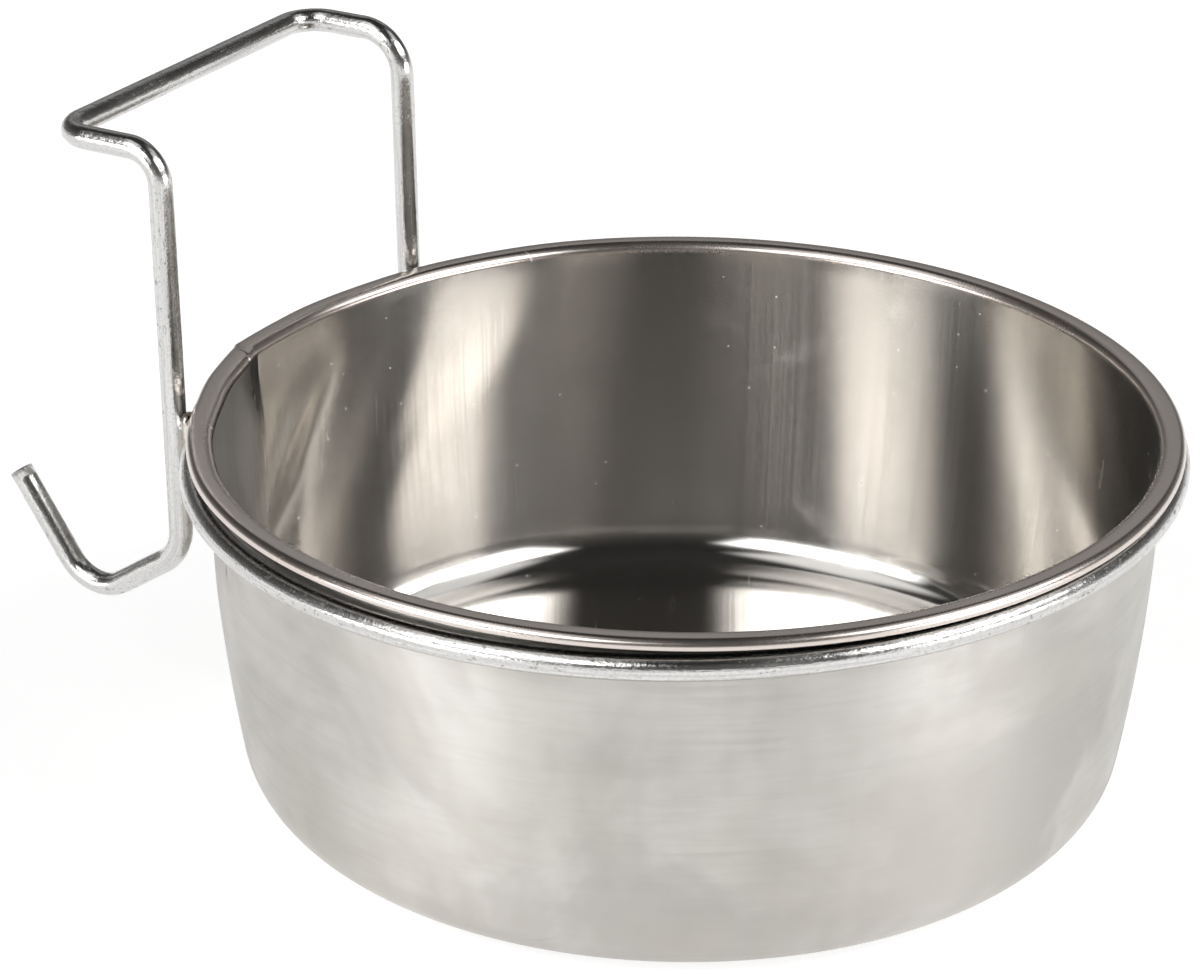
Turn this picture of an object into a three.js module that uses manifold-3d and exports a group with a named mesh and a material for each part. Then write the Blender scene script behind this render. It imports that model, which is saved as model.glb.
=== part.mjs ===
// A pressed steel pet bowl that sits in a welded wire holder with a cage hook.
// Millimetres, +Z up, the hook towards +Y. The origin is the centre of the bowl's flat underside.
import * as THREE from "three";
import { mergeVertices } from "three/addons/utils/BufferGeometryUtils.js";
import Module from "manifold-3d";

// Bowl
const RIM_RADIUS = 70; // outer edge of the rim
const BOWL_HEIGHT = 55;
const SHEET = 0.7; // thickness of the pressed sheet
const RIM_OVERHANG = 3.1; // from the outside of the wall's top to the outer edge of the rim
const RIM_BEND = 0.6; // inside radius where the wall turns out into the rim
const LIP_BEND = 0.4; // inside radius where the rim turns down into the lip
const LIP_DROP = 1.5; // from the top of the rim to the edge of the lip
const BASE_CORNER = 9.9; // outside radius between base and wall
const BASE_LEAN_DEG = 9.6; // how far the wall leans out where it leaves the base corner

// Wire holder
const WIRE_RADIUS = 1.75;
const BOWL_CLEARANCE = 0.3; // around the bowl's wall, inside the ring
const LIP_CLEARANCE = 0.3; // under the lip, where the ring lies against it at the front
const HOLDER_TILT_DEG = 1.2; // the holder hangs down this much on the hook side
const LEG_SPACING = 60; // between the middles of the two legs
const HOOK_HEIGHT = 42; // from the ring up to the top bar
const HOOK_DEPTH = 17.6; // from the legs back to the top bar
const FOOT_DROP = 19.1; // from the ring down to where a leg turns out into its foot
const FOOT_LENGTH = 20.3;
const FOOT_FALL_DEG = 33; // the foot slopes down and back
const TIP_LENGTH = 21.4;
const TIP_TURN_DEG = 89; // between the foot and the tip that rises from it
const WIRE_BEND = 5; // radius of every bend, at the middle of the wire

// Welds
const LEG_GAP = 0.5; // between the ring and a leg, bridged by the weld
const WELD_CLEARANCE = 0.2; // between a weld bead and the wires it joins
const BEAD_WIDTH = 2.7; // half size of a leg weld along the ring
const BEAD_HEIGHT = 2.8; // half size along the leg
const BEAD_DEPTH = 1.5; // half size from ring to leg
const BUTT_WIDTH = 1.2; // the bead between the ring's two ends
const BUTT_RISE = 0.35; // how far that bead stands proud of the wire

// Fineness of the curved surfaces
const BOWL_SEGMENTS = 72;
const CORNER_STEPS = 6;
const EDGE_STEPS = 3;
const WALL_STEPS = 4;
const RING_STEPS = 96;
const WIRE_SIDES = 12;
const WIRE_BEND_STEPS = 6;
const BEAD_SEGMENTS = 24;
const MERGE_DISTANCE = 0.001;

const bowlSteel = new THREE.MeshStandardMaterial({ color: 0xb9b4ab, metalness: 1, roughness: 0.3 });
const wireSteel = new THREE.MeshStandardMaterial({ color: 0xc9c9c8, metalness: 1, roughness: 0.2 });
const weldSteel = new THREE.MeshStandardMaterial({ color: 0xa79f95, metalness: 1, roughness: 0.4 });

const wasm = await Module();
wasm.setup();

// A closed geometry as a solid that can be joined and cut.
function toSolid(geometry) {
  const bare = geometry.index ? geometry.toNonIndexed() : geometry.clone();
  bare.deleteAttribute("normal");
  bare.deleteAttribute("uv");
  const merged = mergeVertices(bare, MERGE_DISTANCE);
  const vertProperties = merged.getAttribute("position").array;
  const triVerts = new Uint32Array(merged.index.array);
  return new wasm.Manifold(new wasm.Mesh({ numProp: 3, vertProperties, triVerts }));
}

function toGeometry(solid) {
  const cut = solid.getMesh();
  const geometry = new THREE.BufferGeometry();
  geometry.setAttribute("position", new THREE.BufferAttribute(cut.vertProperties, 3));
  geometry.setIndex(new THREE.BufferAttribute(cut.triVerts, 1));
  geometry.computeVertexNormals();
  return geometry;
}

function addPiece(group, name, geometry, material) {
  const mesh = new THREE.Mesh(geometry, material);
  mesh.name = name;
  group.add(mesh);
  return mesh;
}

// Points along an arc of a profile, from one angle to another.
function arc(centre, radius, fromAngle, toAngle, steps) {
  const points = [];
  for (let i = 0; i <= steps; i++) {
    const angle = fromAngle + ((toAngle - fromAngle) * i) / steps;
    points.push(new THREE.Vector2(centre.x + radius * Math.cos(angle), centre.y + radius * Math.sin(angle)));
  }
  return points;
}

// The wall's profile is a parabola that leaves the base corner at a lean and stands upright under the rim.
const baseLean = THREE.MathUtils.degToRad(BASE_LEAN_DEG);
const wallTop = new THREE.Vector2(RIM_RADIUS - RIM_OVERHANG, BOWL_HEIGHT - SHEET - RIM_BEND);
const wallFootHeight = BASE_CORNER * (1 - Math.sin(baseLean));
const wallFootRadius = wallTop.x - (Math.tan(baseLean) * (wallTop.y - wallFootHeight)) / 2;
const baseFlatRadius = wallFootRadius - BASE_CORNER * Math.cos(baseLean);

// The wall between its foot and its top, at a depth inside the outer surface.
function wallCurve(depth) {
  const foot = new THREE.Vector2(
    wallFootRadius - depth * Math.cos(baseLean),
    wallFootHeight + depth * Math.sin(baseLean),
  );
  const top = new THREE.Vector2(wallTop.x - depth, wallTop.y);
  const bend = new THREE.Vector2(top.x, foot.y + (top.x - foot.x) / Math.tan(baseLean));
  return new THREE.QuadraticBezierCurve(foot, bend, top).getPoints(WALL_STEPS).slice(1, -1);
}

function bowlGeometry() {
  const cornerCentre = new THREE.Vector2(baseFlatRadius, BASE_CORNER);
  const rimCentre = new THREE.Vector2(wallTop.x + RIM_BEND, wallTop.y);
  const lipCentre = new THREE.Vector2(RIM_RADIUS - SHEET - LIP_BEND, BOWL_HEIGHT - SHEET - LIP_BEND);
  const lipEdge = BOWL_HEIGHT - LIP_DROP;
  const quarter = Math.PI / 2;
  const outside = [
    new THREE.Vector2(0, 0),
    ...arc(cornerCentre, BASE_CORNER, -quarter, -baseLean, CORNER_STEPS),
    ...wallCurve(0),
    ...arc(rimCentre, RIM_BEND, Math.PI, quarter, EDGE_STEPS),
    ...arc(lipCentre, LIP_BEND, quarter, 0, EDGE_STEPS),
    new THREE.Vector2(RIM_RADIUS - SHEET, lipEdge),
  ];
  const inside = [
    new THREE.Vector2(RIM_RADIUS, lipEdge),
    ...arc(lipCentre, LIP_BEND + SHEET, 0, quarter, EDGE_STEPS),
    ...arc(rimCentre, RIM_BEND + SHEET, quarter, Math.PI, EDGE_STEPS),
    ...wallCurve(SHEET).reverse(),
    ...arc(cornerCentre, BASE_CORNER - SHEET, -baseLean, -quarter, CORNER_STEPS),
    new THREE.Vector2(0, SHEET),
  ];
  const geometry = new THREE.LatheGeometry([...outside, ...inside], BOWL_SEGMENTS);
  return geometry.rotateX(quarter);
}

// The path of a wire, which visits its own stations and no points between them.
class WirePath extends THREE.Curve {
  constructor(stations) {
    super();
    this.stations = stations;
  }

  getUtoTmapping(u) {
    return u;
  }

  getPoint(t, target = new THREE.Vector3()) {
    const last = this.stations.length - 1;
    const index = Math.min(Math.floor(t * last), last - 1);
    return target.lerpVectors(this.stations[index], this.stations[index + 1], t * last - index);
  }

  // A wire's cross-section of the given radius, swept along the path.
  sweep(radius) {
    const section = new THREE.Shape().absarc(0, 0, radius, 0, 2 * Math.PI);
    return new THREE.ExtrudeGeometry(section, {
      extrudePath: this,
      steps: this.stations.length - 1,
      curveSegments: WIRE_SIDES / 2,
    });
  }
}

const holderTilt = THREE.MathUtils.degToRad(HOLDER_TILT_DEG);
const ringRadius = wallTop.x + BOWL_CLEARANCE + WIRE_RADIUS;
const ringHeight =
  BOWL_HEIGHT - LIP_DROP - LIP_CLEARANCE - WIRE_RADIUS - ringRadius * Math.sin(holderTilt);
const legRadius = ringRadius + 2 * WIRE_RADIUS + LEG_GAP;
const legSetback = Math.sqrt(legRadius ** 2 - (LEG_SPACING / 2) ** 2);
const legAngle = Math.atan2(legSetback, LEG_SPACING / 2);

// Stations on the ring's middle line between two angles, counted from +X.
function ringStations(fromAngle, toAngle, steps) {
  return arc(new THREE.Vector2(0, 0), ringRadius, fromAngle, toAngle, steps).map(
    (point) => new THREE.Vector3(point.x, point.y, 0),
  );
}

// The ring starts and ends at the back, with room for the bead that closes it.
function ringGeometry() {
  const halfOpening = (BUTT_WIDTH / 2 + WELD_CLEARANCE) / ringRadius;
  const start = Math.PI / 2 + halfOpening;
  const end = start + 2 * (Math.PI - halfOpening);
  return new WirePath(ringStations(start, end, RING_STEPS)).sweep(WIRE_RADIUS);
}

function buttWeldGeometry() {
  const side = BUTT_WIDTH / 2;
  const crown = arc(new THREE.Vector2(WIRE_RADIUS, 0), 1, -Math.PI / 2, Math.PI / 2, CORNER_STEPS);
  const profile = crown.map(
    (point) => new THREE.Vector2(WIRE_RADIUS + (point.x - WIRE_RADIUS) * BUTT_RISE, point.y * side),
  );
  profile.unshift(new THREE.Vector2(0, -side));
  profile.push(new THREE.Vector2(0, side));
  return new THREE.LatheGeometry(profile, BEAD_SEGMENTS).rotateZ(Math.PI / 2);
}

// A wire bent at each corner of a line of points.
function bentStations(corners) {
  const stations = [corners[0]];
  for (let i = 1; i < corners.length - 1; i++) {
    const corner = corners[i];
    const into = corner.clone().sub(corners[i - 1]).normalize();
    const out = corners[i + 1].clone().sub(corner).normalize();
    const turn = into.angleTo(out);
    const start = corner.clone().addScaledVector(into, -WIRE_BEND * Math.tan(turn / 2));
    const inward = out.clone().addScaledVector(into, -out.dot(into)).normalize();
    for (let step = 0; step <= WIRE_BEND_STEPS; step++) {
      const angle = (turn * step) / WIRE_BEND_STEPS;
      const station = start.clone().addScaledVector(into, WIRE_BEND * Math.sin(angle));
      stations.push(station.addScaledVector(inward, WIRE_BEND * (1 - Math.cos(angle))));
    }
  }
  stations.push(corners[corners.length - 1]);
  return stations;
}

// Tip, foot, leg, top bar, leg, foot and tip, all of one wire.
function hookGeometry() {
  const footAngle = THREE.MathUtils.degToRad(-FOOT_FALL_DEG);
  const tipAngle = footAngle + THREE.MathUtils.degToRad(TIP_TURN_DEG);
  const footEnd = {
    y: legSetback + FOOT_LENGTH * Math.cos(footAngle),
    z: -FOOT_DROP + FOOT_LENGTH * Math.sin(footAngle),
  };
  const side = [
    { y: footEnd.y + TIP_LENGTH * Math.cos(tipAngle), z: footEnd.z + TIP_LENGTH * Math.sin(tipAngle) },
    footEnd,
    { y: legSetback, z: -FOOT_DROP },
    { y: legSetback, z: HOOK_HEIGHT },
    { y: legSetback + HOOK_DEPTH, z: HOOK_HEIGHT },
  ];
  const left = side.map((point) => new THREE.Vector3(-LEG_SPACING / 2, point.y, point.z));
  const right = side.map((point) => new THREE.Vector3(LEG_SPACING / 2, point.y, point.z)).reverse();
  return new WirePath(bentStations([...left, ...right])).sweep(WIRE_RADIUS);
}

// The bead between the ring and the leg that stands at an angle around the ring.
function legWeldGeometry(angle) {
  const cutRadius = WIRE_RADIUS + WELD_CLEARANCE;
  const reach = (2 * BEAD_WIDTH) / ringRadius;
  const ringCut = new WirePath(ringStations(angle - reach, angle + reach, CORNER_STEPS)).sweep(cutRadius);
  const legCut = new THREE.CylinderGeometry(cutRadius, cutRadius, 4 * BEAD_HEIGHT, BEAD_SEGMENTS);
  legCut.rotateX(Math.PI / 2);
  legCut.translate(legRadius * Math.cos(angle), legRadius * Math.sin(angle), 0);
  const joint = ringRadius + WIRE_RADIUS + LEG_GAP / 2;
  const bead = new THREE.SphereGeometry(1, BEAD_SEGMENTS, BEAD_SEGMENTS / 2);
  bead.scale(BEAD_DEPTH, BEAD_WIDTH, BEAD_HEIGHT);
  bead.translate(joint, 0, 0);
  bead.rotateZ(angle);
  return toGeometry(toSolid(bead).subtract(toSolid(ringCut)).subtract(toSolid(legCut)));
}

const bowlInHolder = new THREE.Group();
addPiece(bowlInHolder, "bowl", bowlGeometry(), bowlSteel);

const holder = new THREE.Group();
holder.position.z = ringHeight;
holder.rotation.x = -holderTilt;
addPiece(holder, "holder_ring", ringGeometry(), wireSteel);
addPiece(holder, "hook_wire", hookGeometry(), wireSteel);
addPiece(holder, "ring_weld", buttWeldGeometry(), weldSteel).position.y = ringRadius;
addPiece(holder, "weld_left", legWeldGeometry(Math.PI - legAngle), weldSteel);
addPiece(holder, "weld_right", legWeldGeometry(legAngle), weldSteel);
bowlInHolder.add(holder);

export default bowlInHolder;
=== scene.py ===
import math

import bpy
from mathutils import Matrix, Vector, noise


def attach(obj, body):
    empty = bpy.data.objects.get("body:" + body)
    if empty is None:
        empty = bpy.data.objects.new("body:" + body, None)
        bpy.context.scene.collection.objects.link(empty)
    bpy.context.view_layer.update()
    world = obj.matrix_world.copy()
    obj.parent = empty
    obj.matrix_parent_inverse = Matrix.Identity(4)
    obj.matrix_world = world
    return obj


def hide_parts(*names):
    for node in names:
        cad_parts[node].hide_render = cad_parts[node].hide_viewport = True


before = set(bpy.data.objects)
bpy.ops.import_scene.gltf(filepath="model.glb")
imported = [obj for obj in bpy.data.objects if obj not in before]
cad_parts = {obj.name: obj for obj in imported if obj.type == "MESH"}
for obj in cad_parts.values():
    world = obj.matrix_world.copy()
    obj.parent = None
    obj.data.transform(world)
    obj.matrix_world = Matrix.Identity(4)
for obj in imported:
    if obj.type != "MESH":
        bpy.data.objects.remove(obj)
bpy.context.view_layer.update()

MM = 0.001

# Bowl, in millimetres
RIM_RADIUS = 70.0
BOWL_HEIGHT = 55.0
SHEET = 0.7
RIM_OVERHANG = 3.1
RIM_BEND = 0.8
LIP_BEND = 0.4
LIP_DROP = 1.5
EDGE_ROUND = 0.25
BASE_CORNER = 9.9
BASE_LEAN = math.radians(9.6)
INSIDE_CORNER = 7.0
INSIDE_FOOT = 0.02

# Dents of the rim and the upper wall behind: angles round the bowl in degrees, the rest in millimetres
RIDGE_ANGLE = 99.5
RIDGE_OFFSET = 0.28
RIDGE_BOTTOM = 42.0
RIDGE_POWER = 1.6
DENTS_RIGHT = [(45.0, 0.0), (62.0, -0.5), (76.0, -0.85), (89.0, -0.45)]
DENTS_LEFT = [(107.0, -0.3), (117.0, -0.7), (128.0, -0.35), (142.0, 0.0)]
DENT_BOTTOM = 10.0
DENT_TOP = 52.0
# Lower down the dents draw in to this share of their width.
DENT_NARROW = 0.3
DENT_NARROW_FROM = 5.0

# A crease beside the ridge, leaning by so many degrees for each millimetre down
CREASE_ANGLE = 91.0
CREASE_HEIGHT = 41.0
CREASE_LEAN = 0.8
CREASE_WIDTH = 3.4
CREASE_DEPTH = 0.5
CREASE_BOTTOM = (22.0, 40.0)
CREASE_TOP = (42.0, 50.0)

# A fine seam across the rim, turning by so many degrees for each millimetre in from its outer end
SEAM_OUTER_ANGLE = 99.9
SEAM_OUTER_INSET = 0.3
SEAM_TURN = 2.5 / 3.8
SEAM_DEPTH = 0.13
SEAM_WIDTH = 0.1
SEAM_FLOOR = 53.9
SEAM_FACING = -0.2

# Slight waves of the wall that fade out at the base and at the rim
WALL_WAVE = 0.035
WALL_WAVE_LENGTH = 24.0
WALL_WAVE_BOTTOM = (4.0, 20.0)
WALL_WAVE_TOP = (48.0, 53.0)

# Marks, in millimetres: a small dark spot outside below the ring, a rubbed patch on the inside wall
# and painted shade deep in the crevice under the rim. The scales stretch a mark along the axes.
DARK_SPOT_PLACE = (-51.76, 41.91, 41.5)
DARK_SPOT_SCALE = (1.0, 1.0, 0.5)
DARK_SPOT_SIZE = 0.6
WORN_PLACE = (-27.8, 59.6, 38.0)
WORN_SCALE = (1.0, 1.0, 0.6)
WORN_SIZE = 20.0
WORN_ROUGHNESS = 0.42
MARK_CORE = 0.5
MARK_STRENGTH = 0.8
# Heights and reach of the painted shade in the crevice between the rim's lip and the ring
CREVICE_SHADE_LOW = 51.4
CREVICE_SHADE_HIGH = 53.0
CREVICE_SHADE_REACH = (68.3, 69.0)

# Heights in millimetres between which the bright inside bottom gives way to the drawn wall
WALL_LINES = (2.0, 14.0)

# Fine scratches: how stretched and soft-edged they are, and the noise that leaves gaps between them
SCRATCH_STRETCH = 0.03
SCRATCH_EDGE = 0.03
SCRATCH_GAP_SCALE = 70.0
SCRATCH_GAP = (0.60, 0.72)

# Colours of the metals and the table
SATIN_DARK = (0.485, 0.463, 0.436)
SATIN_LIGHT = (0.625, 0.602, 0.573)
SATIN_TINT = (0.55, 0.54, 0.487)
SATIN_STROKE = (0.45, 0.43, 0.402)
SATIN_DRAWN = (0.44, 0.422, 0.398)
SATIN_SCRATCH = (0.36, 0.35, 0.33)
SATIN_STAIN = (0.46, 0.438, 0.398)
DARK_SPOT_COLOUR = (0.2, 0.193, 0.186)
# Painted shade for the crevice under the rim
CREVICE_SHADE_COLOUR = (0.02, 0.019, 0.018)
POLISHED_DARK = (0.71, 0.685, 0.652)
POLISHED_LIGHT = (0.76, 0.738, 0.708)
POLISHED_DRAWN = (0.52, 0.50, 0.475)
POLISHED_SPECK = (0.9, 0.88, 0.85)
RIM_DARK = (0.65, 0.585, 0.54)
RIM_LIGHT = (0.72, 0.652, 0.607)
RIM_GRIT = (0.45, 0.42, 0.385)
WIRE_LIGHT = (0.72, 0.715, 0.705)
WIRE_STREAK = (0.56, 0.55, 0.535)
WIRE_GRAIN = (0.40, 0.395, 0.39)
WIRE_PIT = (0.16, 0.155, 0.15)
WELD_LIGHT = (0.78, 0.75, 0.71)
WELD_HEAT = (0.55, 0.46, 0.38)
TABLE_DARK = (0.90, 0.90, 0.90)
TABLE_LIGHT = (0.92, 0.92, 0.92)

# Wire holder, in millimetres
WIRE_RADIUS = 1.75
BOWL_CLEARANCE = 0.3
LIP_CLEARANCE = 0.3
HOLDER_TILT = math.radians(1.2)
LEG_SPACING = 60.0
HOOK_HEIGHT = 42.0
HOOK_DEPTH = 17.6
FOOT_DROP = 19.1
FOOT_LENGTH = 20.3
FOOT_FALL = math.radians(33)
TIP_LENGTH = 21.4
TIP_TURN = math.radians(89)
WIRE_BEND = 5.0
TIP_BEND = 6.8
FOOT_BEND = 7.2
EASED_BEND = 6.5
LEG_GAP = 0.5
BEND_SQUEEZE = 0.05
TIP_CHAMFER = 0.3
TIP_STEP = 0.6
TIP_CROWN = 0.7

# Weld beads, in millimetres: half sizes outward, round the ring and up, a waist and an uneven surface
LEG_WELD_SIZE = (1.35, 1.75, 2.75)
LEG_WELD_WAIST = 0.72
LEG_WELD_FLARE = 0.38
LEG_WELD_LUMP = 0.16
LEG_WELD_PITCH = 1.7
LEFT_WELD_SEED = 3.0
RIGHT_WELD_SEED = 11.0
RING_WELD_HALF = 1.0
RING_WELD_BEAD = 0.35
RING_WELD_ROUND = 0.45
RING_WELD_LUMP = 0.05
RING_WELD_PITCH = 2.3
RING_WELD_SEED = 5.0

# Fineness of the meshes
BOWL_STEP_DEG = 1.0
SEAM_STEP_DEG = 0.04
SEAM_SPAN = (98.8, 104.2)
SEAM_MARGIN = 0.3
FLOOR_RINGS = 6
CORNER_STEPS = 14
WALL_STEPS = 20
UNDER_STEPS = 6
EDGE_STEPS = 4
LIP_STEPS = 8
RIM_STEPS = 10
WIRE_SIDES = 32
WIRE_STEEP = 0.8
RING_STEPS = 480
BEND_STEPS = 20
STRAIGHT_STEP = 1.5
WELD_COLUMNS, WELD_ROWS = 40, 28

# Camera, in millimetres
CAMERA_PLACE = Vector((-481.59, -282.07, 300.95))
CAMERA_AIM = Vector((-5.93, 10.12, 44.02))
CAMERA_ROLL = math.radians(0.153)
CAMERA_LENS = 130.52
SENSOR_WIDTH = 36.0
CAMERA_CLIP = (0.01, 20.0)

# Studio, in metres and degrees, seen from the camera: 0 is straight behind the bowl, positive to the right
STUDIO_RADIUS = 3.4
STUDIO_CENTRE = Vector((0.0, 0.0, 0.04))
BOX_DISTANCE = 2.9
# Name, turn, rise, half width, half height and strength
SOFT_BOXES = [
    ("left_high_box", -133.0, 40.0, 27.0, 15.0, 4.8),
    ("left_low_box", -120.0, 5.0, 22.0, 6.0, 11.0),
    ("right_high_box", 110.0, 40.0, 27.0, 15.0, 5.7),
    ("right_low_box", 114.0, 5.0, 20.0, 6.0, 9.5),
    ("back_glow", 0.0, 31.0, 30.0, 15.0, 0.36),
    ("left_top_box", -106.0, 63.0, 21.0, 16.0, 1.0),
    ("right_top_box", 84.0, 57.0, 24.0, 12.0, 0.8),
]
BOX_PLATEAU = 0.22
BOX_EDGE = 0.03
# Brightness of the shell by height, as a share of its radius
SHELL_STOPS = [
    (0.0, (0.90, 0.90, 0.90)),
    (0.04, (0.45, 0.447, 0.443)),
    (0.11, (0.20, 0.196, 0.19)),
    (0.38, (0.084, 0.081, 0.077)),
    (0.55, (0.05, 0.048, 0.046)),
    (0.8, (0.024, 0.0233, 0.0226)),
    (1.0, (0.030, 0.0293, 0.0286)),
]
SHELL_COLUMNS, SHELL_ROWS = 64, 20
TABLE_SHARE = 1.05
TABLE_GLOW = 1.5
TABLE_GLOW_SHARE = 0.5


def smooth(low, high, value):
    """0 below low, 1 above high and a soft step between them."""
    t = min(max((value - low) / (high - low), 0.0), 1.0)
    return t * t * (3.0 - 2.0 * t)


def mesh_object(name, verts, faces, materials, slots=None, uvs=None):
    """A smooth mesh from points in millimetres."""
    mesh = bpy.data.meshes.new(name)
    mesh.from_pydata([Vector(v) * MM for v in verts], [], faces)
    for material in materials:
        mesh.materials.append(material)
    for index, polygon in enumerate(mesh.polygons):
        polygon.use_smooth = True
        if slots:
            polygon.material_index = slots[index]
    if uvs:
        layer = mesh.uv_layers.new(name="along_and_around")
        corner = 0
        for face_uv in uvs:
            for uv in face_uv:
                layer.data[corner].uv = uv
                corner += 1
    mesh.update()
    made = bpy.data.objects.new(name, mesh)
    bpy.context.scene.collection.objects.link(made)
    return made


# Materials


class Nodes:
    """Short ways to make the shader nodes of one material."""

    def __init__(self, name):
        self.material = bpy.data.materials.new(name)
        self.material.use_nodes = True
        self.tree = self.material.node_tree
        self.tree.nodes.clear()
        self.output = self.make("ShaderNodeOutputMaterial")

    def make(self, kind, **values):
        node = self.tree.nodes.new(kind)
        for key, value in values.items():
            setattr(node, key, value)
        return node

    def link(self, source, target):
        self.tree.links.new(source, target)

    def feed(self, node, key, value):
        if isinstance(value, bpy.types.NodeSocket):
            self.link(value, node.inputs[key])
        else:
            node.inputs[key].default_value = value

    def stretched(self, vector, scale, turn=(0.0, 0.0, 0.0)):
        node = self.make("ShaderNodeMapping")
        self.link(vector, node.inputs["Vector"])
        node.inputs["Scale"].default_value = scale
        node.inputs["Rotation"].default_value = turn
        return node.outputs["Vector"]

    def noise(self, vector, scale, detail=3.0, rough=0.55, warp=0.0):
        node = self.make("ShaderNodeTexNoise")
        self.link(vector, node.inputs["Vector"])
        node.inputs["Scale"].default_value = scale
        node.inputs["Detail"].default_value = detail
        node.inputs["Roughness"].default_value = rough
        node.inputs["Distortion"].default_value = warp
        return node.outputs["Fac"]

    def cells(self, vector, scale):
        node = self.make("ShaderNodeTexVoronoi", feature="F1")
        self.link(vector, node.inputs["Vector"])
        node.inputs["Scale"].default_value = scale
        return node.outputs["Distance"]

    def span(self, value, low, high, to_low, to_high):
        node = self.make("ShaderNodeMapRange", interpolation_type="SMOOTHSTEP")
        self.link(value, node.inputs["Value"])
        node.inputs["From Min"].default_value = low
        node.inputs["From Max"].default_value = high
        node.inputs["To Min"].default_value = to_low
        node.inputs["To Max"].default_value = to_high
        return node.outputs["Result"]

    def math(self, operation, first, second):
        node = self.make("ShaderNodeMath", operation=operation)
        self.feed(node, 0, first)
        self.feed(node, 1, second)
        return node.outputs[0]

    def mix(self, amount, first, second):
        node = self.make("ShaderNodeMix", data_type="RGBA")
        self.feed(node, "Factor", amount)
        for key, colour in (("A", first), ("B", second)):
            socket = [s for s in node.inputs if s.name == key and s.type == "RGBA"][0]
            if isinstance(colour, bpy.types.NodeSocket):
                self.link(colour, socket)
            else:
                socket.default_value = (*colour, 1.0)
        return [s for s in node.outputs if s.type == "RGBA"][0]

    def blend(self, amount, first, second):
        """A number between two numbers or sockets."""
        node = self.make("ShaderNodeMix", data_type="FLOAT")
        self.feed(node, "Factor", amount)
        for key, value in (("A", first), ("B", second)):
            socket = [s for s in node.inputs if s.name == key and s.type == "VALUE"][0]
            if isinstance(value, bpy.types.NodeSocket):
                self.link(value, socket)
            else:
                socket.default_value = value
        return [s for s in node.outputs if s.type == "VALUE"][0]

    def bump(self, height, strength, distance, onto=None):
        node = self.make("ShaderNodeBump")
        node.inputs["Strength"].default_value = strength
        node.inputs["Distance"].default_value = distance
        self.link(height, node.inputs["Height"])
        if onto is not None:
            self.link(onto, node.inputs["Normal"])
        return node.outputs["Normal"]

    def place(self):
        return self.make("ShaderNodeTexCoord").outputs["Object"]

    def along(self):
        return self.make("ShaderNodeTexCoord").outputs["UV"]

    def rays(self, radius):
        """Object coordinates pulled to one radius, so that a stretched texture runs up the wall."""
        split = self.make("ShaderNodeSeparateXYZ")
        self.link(self.place(), split.inputs[0])
        flat = self.make("ShaderNodeCombineXYZ")
        self.link(split.outputs["X"], flat.inputs["X"])
        self.link(split.outputs["Y"], flat.inputs["Y"])
        even = self.make("ShaderNodeVectorMath", operation="NORMALIZE")
        self.link(flat.outputs[0], even.inputs[0])
        wide = self.make("ShaderNodeVectorMath", operation="SCALE")
        self.link(even.outputs[0], wide.inputs[0])
        wide.inputs["Scale"].default_value = radius
        ends = self.make("ShaderNodeSeparateXYZ")
        self.link(wide.outputs[0], ends.inputs[0])
        joined = self.make("ShaderNodeCombineXYZ")
        self.link(ends.outputs["X"], joined.inputs["X"])
        self.link(ends.outputs["Y"], joined.inputs["Y"])
        self.link(split.outputs["Z"], joined.inputs["Z"])
        return joined.outputs[0]

    def near(self, place, scale, size):
        """Strong at a place in millimetres and 0 beyond a size round it, in stretched coordinates."""
        node = self.make("ShaderNodeVectorMath", operation="DISTANCE")
        self.link(self.stretched(self.place(), scale), node.inputs[0])
        node.inputs[1].default_value = [p * MM * k for p, k in zip(place, scale)]
        return self.span(node.outputs["Value"], size * MM * MARK_CORE, size * MM, MARK_STRENGTH, 0.0)

    def height(self):
        split = self.make("ShaderNodeSeparateXYZ")
        self.link(self.place(), split.inputs[0])
        return split.outputs["Z"]

    def reach(self):
        """Distance from the bowl's axis."""
        flat = self.make("ShaderNodeVectorMath", operation="MULTIPLY")
        self.link(self.place(), flat.inputs[0])
        flat.inputs[1].default_value = (1.0, 1.0, 0.0)
        length = self.make("ShaderNodeVectorMath", operation="LENGTH")
        self.link(flat.outputs[0], length.inputs[0])
        return length.outputs["Value"]

    def steel(self, colour, rough, normal, grain=0.0, grain_turn=0.0):
        """The metal shader. Grain stretches its highlights along or across the turning direction."""
        shader = self.make("ShaderNodeBsdfPrincipled")
        shader.inputs["Metallic"].default_value = 1.0
        shader.inputs["Anisotropic"].default_value = grain
        shader.inputs["Anisotropic Rotation"].default_value = grain_turn
        self.link(colour, shader.inputs["Base Color"])
        self.link(rough, shader.inputs["Roughness"])
        self.link(normal, shader.inputs["Normal"])
        if grain:
            tangent = self.make("ShaderNodeTangent", direction_type="RADIAL", axis="Z")
            self.link(tangent.outputs["Tangent"], shader.inputs["Tangent"])
        self.link(shader.outputs["BSDF"], self.output.inputs["Surface"])
        return self.material

    def scratches(self, vector, turn, density, cut):
        """Thin straight marks, 1 on a mark and 0 off it."""
        thin = density * SCRATCH_STRETCH
        lines = self.noise(self.stretched(vector, (density, thin, thin), turn), 1.0, detail=1.0)
        gaps = self.noise(vector, SCRATCH_GAP_SCALE, detail=2.0)
        marks = self.span(lines, cut, cut + SCRATCH_EDGE, 0.0, 1.0)
        return self.math("MULTIPLY", marks, self.span(gaps, *SCRATCH_GAP, 0.0, 1.0))


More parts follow.
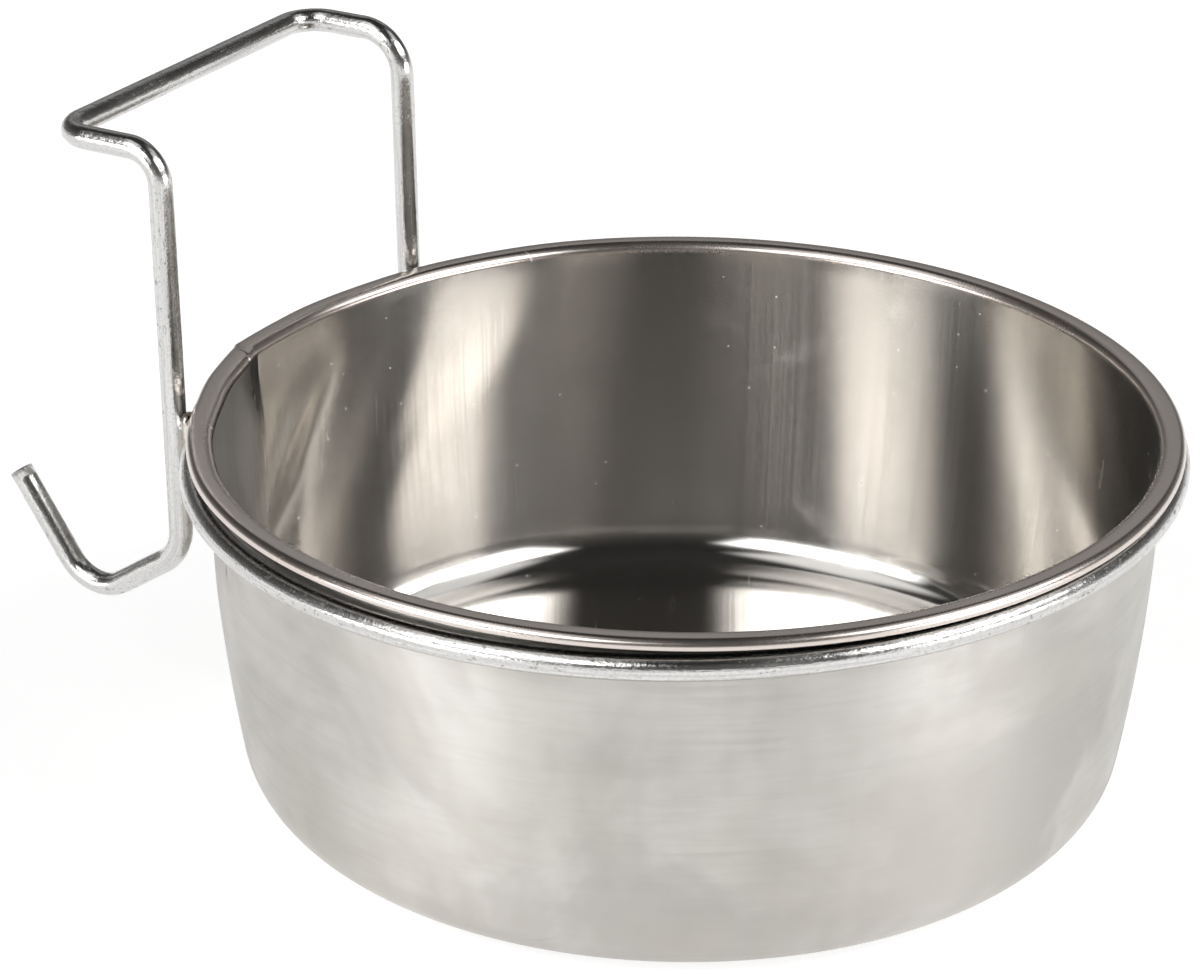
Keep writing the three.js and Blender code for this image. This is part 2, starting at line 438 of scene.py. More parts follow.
def satin_steel():
    """The bowl's outside: brushed round, cloudy, with a few handling marks and painted shade in the crevice
    under the rim.
    """
    n = Nodes("satin_steel")
    place = n.place()
    clouds = n.noise(place, 28.0, detail=4.0, rough=0.6, warp=0.4)
    drawn = n.noise(n.stretched(n.rays(RIM_RADIUS * MM), (160.0, 160.0, 14.0)), 1.0, detail=3.0)
    brushed = n.noise(n.stretched(place, (40.0, 40.0, 3200.0)), 1.0, detail=4.0)
    mottle = n.noise(place, 150.0, detail=3.0)
    marks = n.scratches(place, turn=(0.4, 0.9, 0.3), density=1500.0, cut=0.70)
    strokes = n.noise(n.stretched(place, (75.0, 75.0, 900.0)), 1.0, detail=5.0, rough=0.7)
    tint = n.noise(n.stretched(place, (26.0, 26.0, 40.0)), 1.0, detail=3.0, rough=0.5, warp=0.5)
    colour = n.mix(n.span(clouds, 0.40, 0.60, 0.0, 1.0), SATIN_DARK, SATIN_LIGHT)
    colour = n.mix(n.span(tint, 0.48, 0.62, 0.0, 0.5), colour, SATIN_TINT)
    colour = n.mix(n.span(strokes, 0.42, 0.7, 0.0, 0.22), colour, SATIN_STROKE)
    colour = n.mix(n.span(drawn, 0.35, 0.7, 0.0, 0.12), colour, SATIN_DRAWN)
    colour = n.mix(n.math("MULTIPLY", marks, 0.3), colour, SATIN_SCRATCH)
    stain = n.noise(n.stretched(place, (9.0, 9.0, 13.0)), 1.0, detail=5.0, rough=0.6, warp=0.8)
    colour = n.mix(n.span(stain, 0.42, 0.66, 0.0, 0.4), colour, SATIN_STAIN)
    # A small dark spot on the outside below the ring
    colour = n.mix(n.near(DARK_SPOT_PLACE, DARK_SPOT_SCALE, DARK_SPOT_SIZE), colour, DARK_SPOT_COLOUR)
    # Painted shade: the crevice between the rim's lip and the ring is darkened and made rougher, standing
    # in for its shadow
    crevice_shade = n.span(n.height(), CREVICE_SHADE_LOW * MM, CREVICE_SHADE_HIGH * MM, 0.0, 1.0)
    deep = n.span(n.reach(), CREVICE_SHADE_REACH[0] * MM, CREVICE_SHADE_REACH[1] * MM, 1.0, 0.0)
    crevice_shade = n.math("MULTIPLY", crevice_shade, deep)
    colour = n.mix(crevice_shade, colour, CREVICE_SHADE_COLOUR)
    rough = n.blend(clouds, 0.34, 0.42)
    rough = n.math("ADD", rough, n.span(crevice_shade, 0.0, 1.0, 0.0, 0.3))
    rough = n.math("ADD", rough, n.span(brushed, 0.3, 0.7, -0.03, 0.03))
    rough = n.math("ADD", rough, n.span(mottle, 0.35, 0.7, -0.02, 0.03))
    normal = n.bump(brushed, strength=0.05, distance=0.0002)
    normal = n.bump(drawn, strength=0.02, distance=0.0003, onto=normal)
    return n.steel(colour, rough, normal, grain=0.8, grain_turn=0.25)


def polished_steel():
    """The bowl's inside: a bright bottom, walls with upright drawing lines, smudges and fine scratches."""
    n = Nodes("polished_steel")
    place = n.place()
    wall = n.span(n.height(), WALL_LINES[0] * MM, WALL_LINES[1] * MM, 0.0, 1.0)
    drawn = n.noise(n.stretched(n.rays(RIM_RADIUS * MM), (2400.0, 2400.0, 9.0)), 1.0, detail=2.0, rough=0.5)
    clouds = n.noise(place, 45.0, detail=4.0, rough=0.6, warp=0.5)
    smudge = n.noise(n.stretched(place, (38.0, 38.0, 60.0)), 1.0, detail=5.0, rough=0.65, warp=0.6)
    specks = n.cells(place, 260.0)
    marks = n.scratches(place, turn=(0.2, 0.8, 0.5), density=1700.0, cut=0.68)
    cross = n.scratches(place, turn=(1.0, 0.1, 1.9), density=1300.0, cut=0.70)
    marks = n.math("MAXIMUM", marks, cross)
    colour = n.mix(n.span(clouds, 0.3, 0.7, 0.0, 1.0), POLISHED_DARK, POLISHED_LIGHT)
    colour = n.mix(n.math("MULTIPLY", n.span(drawn, 0.4, 0.75, 0.0, 0.28), wall), colour, POLISHED_DRAWN)
    colour = n.mix(n.span(specks, 0.03, 0.05, 0.5, 0.0), colour, POLISHED_SPECK)
    rough = n.blend(wall, 0.08, 0.18)
    rough = n.math("ADD", rough, n.math("MULTIPLY", n.span(drawn, 0.3, 0.75, -0.02, 0.03), wall))
    rough = n.math("ADD", rough, n.span(smudge, 0.55, 0.75, 0.0, 0.06))
    worn = n.near(WORN_PLACE, WORN_SCALE, WORN_SIZE)
    rough = n.math("ADD", rough, n.math("MULTIPLY", worn, WORN_ROUGHNESS))
    rough = n.math("ADD", rough, n.math("MULTIPLY", marks, 0.08))
    rough = n.math("ADD", rough, n.span(specks, 0.03, 0.05, 0.2, 0.0))
    normal = n.bump(n.math("MULTIPLY", drawn, wall), strength=0.009, distance=0.0002)
    normal = n.bump(marks, strength=0.03, distance=0.0001, onto=normal)
    return n.steel(colour, rough, normal, grain=0.9, grain_turn=0.25)


def rim_steel():
    """The rolled rim: polished, with fine grinding specks."""
    n = Nodes("rim_steel")
    place = n.place()
    grit = n.noise(place, 2600.0, detail=2.0, rough=0.6)
    clouds = n.noise(place, 60.0, detail=3.0)
    marks = n.scratches(place, turn=(0.3, 0.2, 1.2), density=1600.0, cut=0.66)
    colour = n.mix(clouds, RIM_DARK, RIM_LIGHT)
    colour = n.mix(n.span(grit, 0.6, 0.75, 0.0, 0.3), colour, RIM_GRIT)
    rough = n.math("ADD", n.span(clouds, 0.3, 0.7, 0.23, 0.27), n.span(grit, 0.45, 0.75, 0.0, 0.02))
    rough = n.math("ADD", rough, n.math("MULTIPLY", marks, 0.15))
    normal = n.bump(grit, strength=0.008, distance=0.0001)
    return n.steel(colour, rough, normal)


def plated_wire():
    """Bright drawn wire: fine streaks along it, pits in the plating and a few dull patches."""
    n = Nodes("plated_wire")
    along = n.along()
    place = n.place()
    streaks = n.noise(n.stretched(along, (55.0, 2400.0, 1.0)), 1.0, detail=4.0, rough=0.6)
    pits = n.noise(n.stretched(along, (700.0, 1100.0, 1.0)), 1.0, detail=3.0, rough=0.7)
    patches = n.noise(place, 70.0, detail=3.0)
    grain = n.noise(place, 2400.0, detail=2.0, rough=0.7)
    pitted = n.math("MULTIPLY", n.span(pits, 0.57, 0.66, 0.0, 1.0), n.span(patches, 0.38, 0.58, 0.0, 1.0))
    colour = n.mix(n.span(streaks, 0.3, 0.75, 0.0, 1.0), WIRE_LIGHT, WIRE_STREAK)
    colour = n.mix(n.span(grain, 0.42, 0.7, 0.0, 0.28), colour, WIRE_GRAIN)
    colour = n.mix(n.math("MULTIPLY", pitted, 0.7), colour, WIRE_PIT)
    rough = n.span(streaks, 0.3, 0.75, 0.12, 0.24)
    rough = n.math("ADD", rough, n.span(patches, 0.4, 0.7, 0.0, 0.08))
    rough = n.math("ADD", rough, n.math("MULTIPLY", pitted, 0.25))
    normal = n.bump(streaks, strength=0.16, distance=0.0002)
    normal = n.bump(pits, strength=0.22, distance=0.0003, onto=normal)
    normal = n.bump(grain, strength=0.05, distance=0.0002, onto=normal)
    return n.steel(colour, rough, normal)


def weld_metal():
    """Plated weld beads, warm and uneven, with heat colour in the hollows."""
    n = Nodes("weld_metal")
    place = n.place()
    lumps = n.noise(place, 900.0, detail=3.0, rough=0.6)
    heat = n.noise(place, 380.0, detail=3.0)
    colour = n.mix(n.span(heat, 0.35, 0.7, 0.0, 1.0), WELD_LIGHT, WELD_HEAT)
    rough = n.span(lumps, 0.3, 0.75, 0.16, 0.38)
    normal = n.bump(lumps, strength=0.35, distance=0.0003)
    return n.steel(colour, rough, normal)


# Bowl


def arc(centre, radius, start, end, steps):
    points = []
    for i in range(steps + 1):
        angle = start + (end - start) * i / steps
        points.append((centre[0] + radius * math.cos(angle), centre[1] + radius * math.sin(angle)))
    return points


wall_top = (RIM_RADIUS - RIM_OVERHANG, BOWL_HEIGHT - SHEET - RIM_BEND)
foot_height = BASE_CORNER * (1 - math.sin(BASE_LEAN))
foot_radius = wall_top[0] - math.tan(BASE_LEAN) * (wall_top[1] - foot_height) / 2
flat_radius = foot_radius - BASE_CORNER * math.cos(BASE_LEAN)
SATIN, RIM, POLISHED = 0, 1, 2


def wall_at(depth, t):
    """A point of the wall's parabola at a depth behind its outside, 0 at its foot and 1 at its top."""
    foot = (foot_radius - depth * math.cos(BASE_LEAN), foot_height + depth * math.sin(BASE_LEAN))
    top = (wall_top[0] - depth, wall_top[1])
    bend = (top[0], foot[1] + (top[0] - foot[0]) / math.tan(BASE_LEAN))
    weights = ((1 - t) ** 2, 2 * t * (1 - t), t * t)
    return tuple(sum(w * p[k] for w, p in zip(weights, (foot, bend, top))) for k in (0, 1))


def wall_points(depth, first=0.0):
    """Points of the wall above a share of its height, without its ends."""
    return [wall_at(depth, first + (1 - first) * i / WALL_STEPS) for i in range(1, WALL_STEPS)]


def bowl_profile():
    """Points of the closed sheet section from the middle of the underside to the middle of the inside."""
    corner = (flat_radius, BASE_CORNER)
    rim = (wall_top[0] + RIM_BEND, wall_top[1])
    lip = (RIM_RADIUS - SHEET - LIP_BEND, BOWL_HEIGHT - SHEET - LIP_BEND)
    edge_height = BOWL_HEIGHT - LIP_DROP + EDGE_ROUND
    quarter = math.pi / 2
    inner_edge = (RIM_RADIUS - SHEET + EDGE_ROUND, edge_height)
    outer_edge = (RIM_RADIUS - EDGE_ROUND, edge_height)
    rings = [i * flat_radius / FLOOR_RINGS for i in range(FLOOR_RINGS)]
    satin = [(r, 0.0) for r in rings]
    satin += arc(corner, BASE_CORNER, -quarter, -BASE_LEAN, CORNER_STEPS) + wall_points(0.0)
    under = arc(rim, RIM_BEND, math.pi, quarter, UNDER_STEPS)
    under += arc(lip, LIP_BEND, quarter, 0.0, UNDER_STEPS)
    under += arc(inner_edge, EDGE_ROUND, math.pi, 1.5 * math.pi, EDGE_STEPS)
    over = arc(outer_edge, EDGE_ROUND, -quarter, 0.0, EDGE_STEPS)
    over += arc(lip, LIP_BEND + SHEET, 0.0, quarter, LIP_STEPS)
    over += arc(rim, RIM_BEND + SHEET, quarter, math.pi, RIM_STEPS)
    lean = BASE_LEAN * (1 - INSIDE_FOOT)
    foot = wall_at(SHEET, INSIDE_FOOT)
    inside = (foot[0] - INSIDE_CORNER * math.cos(lean), foot[1] + INSIDE_CORNER * math.sin(lean))
    polished = wall_points(SHEET, INSIDE_FOOT)[::-1]
    polished += arc(inside, INSIDE_CORNER, -lean, -quarter, CORNER_STEPS)
    polished += [(r, inside[1] - INSIDE_CORNER) for r in rings[::-1]]
    points = satin + under + over + polished
    slots = [SATIN] * (len(satin) + len(under))
    slots += [RIM] * (len(over) - 1) + [POLISHED] * (len(polished) + 1)
    return points, slots


def dent(angle, sharp):
    """Offset at an angle in degrees: two hollows that meet in a ridge, sharp at the rim and round below."""
    if not DENTS_RIGHT[0][0] < angle < DENTS_LEFT[-1][0]:
        return 0.0
    knots = DENTS_RIGHT + DENTS_LEFT
    for (a, low), (b, high) in zip(knots, knots[1:]):
        if a <= angle <= b:
            hollow = low + (high - low) * smooth(a, b, angle)
            break
    end = DENTS_RIGHT[-1] if angle < RIDGE_ANGLE else DENTS_LEFT[0]
    toward = max((angle - end[0]) / (RIDGE_ANGLE - end[0]), 0.0)
    return hollow + (RIDGE_OFFSET - end[1]) * toward**RIDGE_POWER * sharp


def crease(height, angle):
    """How far the slanting crease beside the ridge goes in, in mm."""
    middle = CREASE_ANGLE - CREASE_LEAN * (height - CREASE_HEIGHT)
    aside = (angle - middle) / CREASE_WIDTH
    along = smooth(*CREASE_BOTTOM, height) * (1.0 - smooth(*CREASE_TOP, height))
    return CREASE_DEPTH * math.exp(-aside * aside) * along


def bowl_angles():
    """Angles of the columns in degrees, close together at the seam."""
    fine = []
    angle = SEAM_SPAN[0]
    while angle < SEAM_SPAN[1]:
        fine.append(angle)
        angle += SEAM_STEP_DEG
    coarse = [i * BOWL_STEP_DEG for i in range(int(360 / BOWL_STEP_DEG))]
    coarse = [a for a in coarse if a < SEAM_SPAN[0] - SEAM_MARGIN or a > SEAM_SPAN[1] + SEAM_MARGIN]
    return sorted(coarse + fine)


def bowl_point(radius, height, normal, angle):
    """A point of the dented, slightly wavy sheet."""
    turn = math.radians(angle)
    around = Vector((math.cos(turn), math.sin(turn), 0.0))
    spot = Vector((radius * around.x, radius * around.y, height)) / WALL_WAVE_LENGTH
    above_base = smooth(*WALL_WAVE_BOTTOM, height)
    below_rim = 1.0 - smooth(*WALL_WAVE_TOP, height)
    spread = DENT_NARROW + (1.0 - DENT_NARROW) * smooth(DENT_NARROW_FROM, DENT_TOP, height)
    drawn_in = RIDGE_ANGLE + (angle - RIDGE_ANGLE) / spread
    sharp = smooth(RIDGE_BOTTOM, DENT_TOP, height)
    offset = dent(drawn_in, sharp) * smooth(DENT_BOTTOM, DENT_TOP, height)
    offset -= crease(height, angle)
    offset += WALL_WAVE * noise.noise(spot) * above_base * below_rim
    point = around * (radius + offset) + Vector((0.0, 0.0, height))
    if height > SEAM_FLOOR and normal[1] > SEAM_FACING:
        seam_angle = SEAM_OUTER_ANGLE + (RIM_RADIUS - SEAM_OUTER_INSET - radius) * SEAM_TURN
        apart = math.radians(angle - seam_angle) * radius
        cut = SEAM_DEPTH * math.exp(-((apart / SEAM_WIDTH) ** 2))
        point -= (around * normal[0] + Vector((0.0, 0.0, normal[1]))) * cut
    return point


def make_bowl(materials):
    points, slots = bowl_profile()
    normals = []
    for i in range(len(points)):
        before = points[max(i - 1, 0)]
        after = points[min(i + 1, len(points) - 1)]
        along = Vector((after[0] - before[0], after[1] - before[1]))
        along = along.normalized() if along.length > 0 else Vector((1.0, 0.0))
        normals.append((along.y, -along.x))
    angles = bowl_angles()
    count = len(angles)
    verts = [Vector((0.0, 0.0, points[0][1]))]
    for (radius, height), normal in list(zip(points, normals))[1:-1]:
        verts += [bowl_point(radius, height, normal, a) for a in angles]
    verts.append(Vector((0.0, 0.0, points[-1][1])))
    rows = len(points) - 2
    faces, face_slots = [], []
    for k in range(count):
        after = (k + 1) % count
        faces.append((0, 1 + after, 1 + k))
        face_slots.append(slots[0])
    for row in range(rows - 1):
        low, high = 1 + row * count, 1 + (row + 1) * count
        for k in range(count):
            after = (k + 1) % count
            faces.append((low + k, low + after, high + after, high + k))
            face_slots.append(slots[row + 1])
    last = 1 + (rows - 1) * count
    for k in range(count):
        after = (k + 1) % count
        faces.append((last + k, last + after, len(verts) - 1))
        face_slots.append(slots[-1])
    return mesh_object("pressed_bowl", verts, faces, materials, face_slots)


# Holder

ring_radius = wall_top[0] + BOWL_CLEARANCE + WIRE_RADIUS
ring_height = BOWL_HEIGHT - LIP_DROP - LIP_CLEARANCE - WIRE_RADIUS - ring_radius * math.sin(HOLDER_TILT)
leg_radius = ring_radius + 2 * WIRE_RADIUS + LEG_GAP
leg_setback = math.sqrt(leg_radius**2 - (LEG_SPACING / 2) ** 2)
leg_angle = math.atan2(leg_setback, LEG_SPACING / 2)
holder_place = Matrix.Translation((0.0, 0.0, ring_height)) @ Matrix.Rotation(-HOLDER_TILT, 4, "X")


def tube(path, sides, closed, squeeze=None, chamfer=0.0):
    """Verts, faces and lengthwise UVs in metres of a wire along a path, with square-cut ends."""
    count = len(path)
    verts, faces, uvs, lengths = [], [], [], [0.0]
    for a, b in zip(path, path[1:] + path[:1]):
        lengths.append(lengths[-1] + (b - a).length)
    across = None
    for i in range(count):
        before = path[i - 1] if closed or i else path[i]
        after = path[(i + 1) % count] if closed or i < count - 1 else path[i]
        along = (after - before).normalized()
        if across is None:
            steep = abs(along.z) >= WIRE_STEEP
            across = Vector((1.0, 0.0, 0.0)) if steep else Vector((0.0, 0.0, 1.0))
        across = (across - along * across.dot(along)).normalized()
        side = along.cross(across)
        for k in range(sides):
            turn = 2 * math.pi * k / sides
            out = across * math.cos(turn) + side * math.sin(turn)
            if squeeze:
                inward, amount = squeeze[i]
                out = out - inward * out.dot(inward) * amount
            verts.append(path[i] + out * WIRE_RADIUS)
    girth = 2 * math.pi * WIRE_RADIUS
    for i in range(count if closed else count - 1):
        after = (i + 1) % count
        for k in range(sides):
            turn = (k + 1) % sides
            faces.append((i * sides + k, after * sides + k, after * sides + turn, i * sides + turn))
            low, high = lengths[i] * MM, lengths[i + 1] * MM
            left, right = girth * k / sides * MM, girth * (k + 1) / sides * MM
            uvs.append(((low, left), (high, left), (high, right), (low, right)))
    if not closed:
        for end, step in ((0, 1), (count - 1, -1)):
            outward = (path[end] - path[end + step]).normalized()
            ring = len(verts)
            for k in range(sides):
                spoke = verts[end * sides + k] - path[end]
                inset = spoke * (1 - chamfer / WIRE_RADIUS)
                verts.append(path[end] + inset + outward * chamfer * TIP_STEP)
            verts.append(path[end] + outward * chamfer * TIP_CROWN)
            place = lengths[end] * MM
            for k in range(sides):
                turn = (k + 1) % sides
                rim = (end * sides + k, end * sides + turn, ring + turn, ring + k)
                cap = (ring + k, ring + turn, len(verts) - 1)
                faces.append(rim if step < 0 else rim[::-1])
                faces.append(cap if step < 0 else cap[::-1])
                uvs.append(((place, 0.0),) * 4)
                uvs.append(((place, 0.0),) * 3)
    return verts, faces, uvs


def hook_path():
    """Stations along the hook wire and, for each, the way its bend faces and how much it is squeezed."""
    foot_y = leg_setback + FOOT_LENGTH * math.cos(FOOT_FALL)
    foot_z = -FOOT_DROP - FOOT_LENGTH * math.sin(FOOT_FALL)
    rise = TIP_TURN - FOOT_FALL
    side = [
        (foot_y + TIP_LENGTH * math.cos(rise), foot_z + TIP_LENGTH * math.sin(rise)),
        (foot_y, foot_z),
        (leg_setback, -FOOT_DROP),
        (leg_setback, HOOK_HEIGHT),
        (leg_setback + HOOK_DEPTH, HOOK_HEIGHT),
    ]
    left = [Vector((-LEG_SPACING / 2, y, z)) for y, z in side]
    right = [Vector((LEG_SPACING / 2, y, z)) for y, z in side][::-1]
    corners = left + right
    still = (Vector((1.0, 0.0, 0.0)), 0.0)
    stations = [(corners[0], still)]

    def run_to(point):
        start = stations[-1][0]
        steps = max(1, round((point - start).length / STRAIGHT_STEP))
        for i in range(1, steps + 1):
            stations.append((start.lerp(point, i / steps), still))

    bends = [TIP_BEND, FOOT_BEND, WIRE_BEND, WIRE_BEND, WIRE_BEND, EASED_BEND, FOOT_BEND, TIP_BEND]
    for bend, before, corner, after in zip(bends, corners, corners[1:], corners[2:]):
        into = (corner - before).normalized()
        out = (after - corner).normalized()
        turn = into.angle(out)
        start = corner - into * bend * math.tan(turn / 2)
        inward = (out - into * out.dot(into)).normalized()
        run_to(start)
        for i in range(1, BEND_STEPS + 1):
            angle = turn * i / BEND_STEPS
            point = start + into * bend * math.sin(angle) + inward * bend * (1 - math.cos(angle))
            facing = inward * math.cos(angle) - into * math.sin(angle)
            stations.append((point, (facing, BEND_SQUEEZE * math.sin(math.pi * i / BEND_STEPS))))
    run_to(corners[-1])
    return [s[0] for s in stations], [s[1] for s in stations]


def in_holder(verts):
    return [holder_place @ v for v in verts]


def make_ring(material):
    path = []
    for i in range(RING_STEPS):
        turn = 2 * math.pi * i / RING_STEPS
        path.append(Vector((ring_radius * math.cos(turn), ring_radius * math.sin(turn), 0.0)))
    verts, faces, uvs = tube(path, WIRE_SIDES, True)
    return mesh_object("ring_wire", in_holder(verts), faces, [material], uvs=uvs)


def make_hook(material):
    path, squeeze = hook_path()
    verts, faces, uvs = tube(path, WIRE_SIDES, False, squeeze, TIP_CHAMFER)
    return mesh_object("hook_bent_wire", in_holder(verts), faces, [material], uvs=uvs)


def ball(columns, rows, shape):
    """Verts and faces of a round closed form. Shape turns a direction into a point."""
    verts = [shape(Vector((0.0, 0.0, -1.0)))]
    for row in range(1, rows):
        polar = math.pi * row / rows - math.pi / 2
        for column in range(columns):
            turn = 2 * math.pi * column / columns
            level = math.cos(polar)
            verts.append(shape(Vector((level * math.cos(turn), level * math.sin(turn), math.sin(polar)))))
    verts.append(shape(Vector((0.0, 0.0, 1.0))))
    faces = []
    top = len(verts) - 1
    for k in range(columns):
        after = (k + 1) % columns
        faces.append((0, 1 + after, 1 + k))
        for row in range(rows - 2):
            low, high = 1 + row * columns, 1 + (row + 1) * columns
            faces.append((low + k, low + after, high + after, high + k))
        last = 1 + (rows - 2) * columns
        faces.append((last + k, last + after, top))
    return verts, faces


def make_leg_weld(name, angle, seed, material):
    """A bead that fills the corners above and below the crossing of ring and leg."""
    out = Vector((math.cos(angle), math.sin(angle), 0.0))
    round_ring = Vector((-math.sin(angle), math.cos(angle), 0.0))
    middle = out * (ring_radius + WIRE_RADIUS + LEG_GAP / 2)
    up = Vector((0.0, 0.0, 1.0))

    def shape(way):
        uneven = noise.noise(way * LEG_WELD_PITCH + Vector((seed, 0.0, 0.0)))
        lump = 1.0 + LEG_WELD_LUMP * uneven
        waist = LEG_WELD_WAIST + LEG_WELD_FLARE * abs(way.z)
        spot = out * way.x * LEG_WELD_SIZE[0] * waist
        spot = spot + round_ring * way.y * LEG_WELD_SIZE[1] * waist
        spot = spot + up * way.z * LEG_WELD_SIZE[2]
        return middle + spot * lump

    verts, faces = ball(WELD_COLUMNS, WELD_ROWS, shape)
    return mesh_object(name, in_holder(verts), faces, [material])


def make_ring_weld(material):
    """The uneven bead round the wire where the ring's two ends meet."""

    def shape(way):
        uneven = noise.noise(way * RING_WELD_PITCH + Vector((RING_WELD_SEED, 0.0, 0.0)))
        lump = 1.0 + RING_WELD_LUMP * uneven
        flat = Vector((0.0, way.y, way.z))
        level = flat.length
        along = way.x * RING_WELD_HALF
        radius = (WIRE_RADIUS + RING_WELD_BEAD) * level**RING_WELD_ROUND * lump
        spread = flat.normalized() * radius if level > 1e-6 else flat
        return Vector((along, ring_radius, 0.0)) + spread

    verts, faces = ball(WELD_COLUMNS, WELD_ROWS, shape)
    return mesh_object("ring_butt_weld", in_holder(verts), faces, [material])


bowl_materials = [satin_steel(), rim_steel(), polished_steel()]
wire_material = plated_wire()
weld_material = weld_metal()

PIECES = [
    (make_bowl(bowl_materials), "bowl", "bowl", "bowl_steel"),
    (make_ring(wire_material), "holder_ring", "holder", "wire_steel"),
    (make_hook(wire_material), "hook_wire", "holder", "wire_steel"),
    (make_ring_weld(weld_material), "ring_weld", "holder", "weld_steel"),
    (
        make_leg_weld("weld_bead_left", math.pi - leg_angle, LEFT_WELD_SEED, weld_material),
        "weld_left",
        "holder",
        "weld_steel",
    ),
    (
        make_leg_weld("weld_bead_right", leg_angle, RIGHT_WELD_SEED, weld_material),
        "weld_right",
        "holder",
        "weld_steel",
    ),
]
for piece, node, body, slot in PIECES:
    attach(piece, body)
    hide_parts(node)


# Camera

forward = (CAMERA_AIM - CAMERA_PLACE).normalized()
level_right = forward.cross(Vector((0.0, 0.0, 1.0))).normalized()
level_up = level_right.cross(forward)
right = level_right * math.cos(CAMERA_ROLL) + level_up * math.sin(CAMERA_ROLL)
up = level_up * math.cos(CAMERA_ROLL) - level_right * math.sin(CAMERA_ROLL)
camera_data = bpy.data.cameras.new("photo_camera")
camera_data.sensor_fit = "HORIZONTAL"
camera_data.sensor_width = SENSOR_WIDTH
camera_data.lens = CAMERA_LENS
camera_data.clip_start, camera_data.clip_end = CAMERA_CLIP
camera = bpy.data.objects.new("photo_camera", camera_data)
bpy.context.scene.collection.objects.link(camera)
turned = Matrix((right, up, -forward)).transposed().to_4x4()
camera.matrix_world = Matrix.Translation(CAMERA_PLACE * MM) @ turned
bpy.context.scene.camera = camera


# Studio

behind = Vector((forward.x, forward.y, 0.0)).normalized()
to_right = Vector((level_right.x, level_right.y, 0.0)).normalized()


def direction(turn, rise):
    """The way from the bowl to a place in the studio."""
    turn, rise = math.radians(turn), math.radians(rise)
    level = behind * math.cos(turn) + to_right * math.sin(turn)
    return level * math.cos(rise) + Vector((0.0, 0.0, 1.0)) * math.sin(rise)


def stage_mesh(name, verts, faces, material):
    mesh = bpy.data.meshes.new(name)
    mesh.from_pydata(verts, [], faces)
    mesh.materials.append(material)
    made = bpy.data.objects.new(name, mesh)
    bpy.context.scene.collection.objects.link(made)
    return made


def panel(wide, high):
    """Corners of a flat rectangle with these half sizes."""
    return [(-wide, -high, 0), (wide, -high, 0), (wide, high, 0), (-wide, high, 0)]


def soft_box(name, turn, rise, half_width, half_height, strength):
    """A large lit panel that faces the bowl, with soft edges."""
    n = Nodes(name)
    split = n.make("ShaderNodeSeparateXYZ")
    n.link(n.make("ShaderNodeTexCoord").outputs["Generated"], split.inputs[0])
    # Generated coordinates run from 0 to 1, so the edges of the panel lie 0.5 from its middle.
    fades = []
    for key in ("X", "Y"):
        offset = n.math("SUBTRACT", split.outputs[key], 0.5)
        square = n.math("MULTIPLY", offset, offset)
        fades.append(n.span(square, BOX_PLATEAU**2, 0.25, 1.0, BOX_EDGE))
    lamp = n.make("ShaderNodeEmission")
    glow = n.math("MULTIPLY", n.math("MULTIPLY", *fades), strength)
    n.link(glow, lamp.inputs["Strength"])
    n.link(lamp.outputs["Emission"], n.output.inputs["Surface"])
    facing = -direction(turn, rise)
    across = facing.cross(Vector((0.0, 0.0, 1.0))).normalized()
    tall = across.cross(facing)
    wide = BOX_DISTANCE * math.tan(math.radians(half_width))
    high = BOX_DISTANCE * math.tan(math.radians(half_height))
    made = stage_mesh(name, panel(wide, high), [(0, 1, 2, 3)], n.material)
    turned_box = Matrix((across, tall, -facing)).transposed().to_4x4()
    made.matrix_world = Matrix.Translation(STUDIO_CENTRE - facing * BOX_DISTANCE) @ turned_box


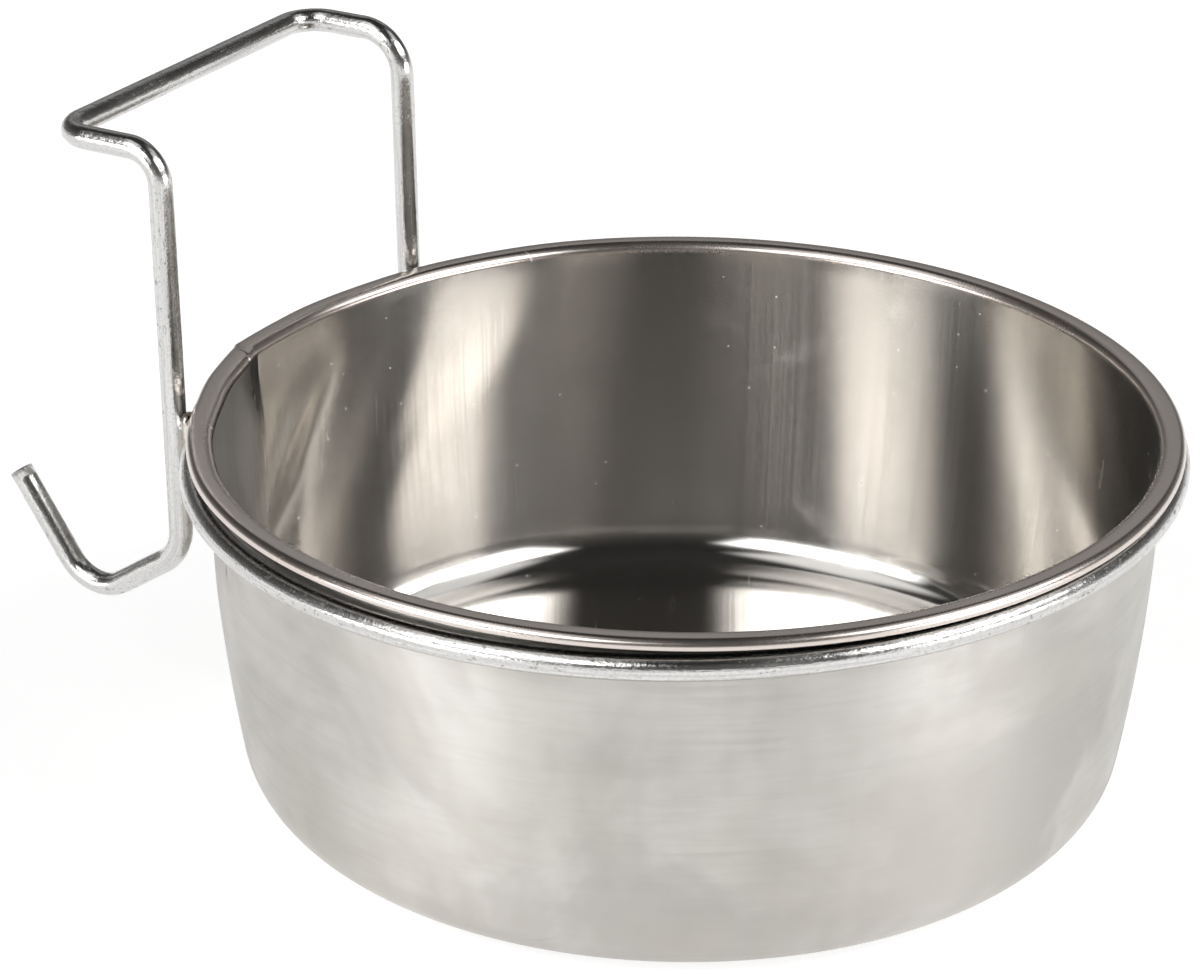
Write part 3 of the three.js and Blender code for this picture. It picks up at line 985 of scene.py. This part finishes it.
def studio_shell():
    """A pale horizon that fades to a dim ceiling."""
    n = Nodes("studio_shell")
    split = n.make("ShaderNodeSeparateXYZ")
    n.link(n.place(), split.inputs[0])
    rise = n.math("DIVIDE", split.outputs["Z"], STUDIO_RADIUS)
    ramp = n.make("ShaderNodeValToRGB")
    while len(ramp.color_ramp.elements) < len(SHELL_STOPS):
        ramp.color_ramp.elements.new(0.5)
    for element, (place, colour) in zip(ramp.color_ramp.elements, SHELL_STOPS):
        element.position = place
        element.color = (*colour, 1.0)
    n.link(rise, ramp.inputs["Fac"])
    lamp = n.make("ShaderNodeEmission")
    n.link(ramp.outputs["Color"], lamp.inputs["Color"])
    n.link(lamp.outputs["Emission"], n.output.inputs["Surface"])
    columns, rows = SHELL_COLUMNS, SHELL_ROWS
    verts, faces = [], []
    for row in range(rows):
        angle = math.pi / 2 * row / rows
        for column in range(columns):
            turn = 2 * math.pi * column / columns
            level = STUDIO_RADIUS * math.cos(angle)
            verts.append((level * math.cos(turn), level * math.sin(turn), STUDIO_RADIUS * math.sin(angle)))
    verts.append((0.0, 0.0, STUDIO_RADIUS))
    for row in range(rows - 1):
        for column in range(columns):
            after = (column + 1) % columns
            low, high = row * columns, (row + 1) * columns
            faces.append((low + column, high + column, high + after, low + after))
    last = (rows - 1) * columns
    for column in range(columns):
        faces.append((last + column, len(verts) - 1, last + (column + 1) % columns))
    stage_mesh("studio_shell", verts, faces, n.material)


def studio_floor():
    """A white table. Its own brightness is there for the camera and for mirroring surfaces alone."""
    n = Nodes("white_table")
    paint = n.make("ShaderNodeBsdfDiffuse")
    grain = n.noise(n.place(), 60.0, detail=3.0)
    n.link(n.mix(grain, TABLE_DARK, TABLE_LIGHT), paint.inputs["Color"])
    glow = n.make("ShaderNodeEmission")
    path = n.make("ShaderNodeLightPath")
    seen = n.math("MAXIMUM", path.outputs["Is Camera Ray"], path.outputs["Is Glossy Ray"])
    seen = n.math("MAXIMUM", seen, path.outputs["Is Transmission Ray"])
    n.link(n.math("MULTIPLY", seen, TABLE_GLOW), glow.inputs["Strength"])
    both = n.make("ShaderNodeMixShader")
    both.inputs["Fac"].default_value = TABLE_GLOW_SHARE
    n.link(paint.outputs["BSDF"], both.inputs[1])
    n.link(glow.outputs["Emission"], both.inputs[2])
    n.link(both.outputs["Shader"], n.output.inputs["Surface"])
    size = STUDIO_RADIUS * TABLE_SHARE
    stage_mesh("white_table", panel(size, size), [(0, 1, 2, 3)], n.material)


studio_shell()
studio_floor()
for box in SOFT_BOXES:
    soft_box(*box)

world = bpy.data.worlds.new("white_room")
world.use_nodes = True
bpy.context.scene.world = world
bpy.context.scene.view_settings.view_transform = "Standard"
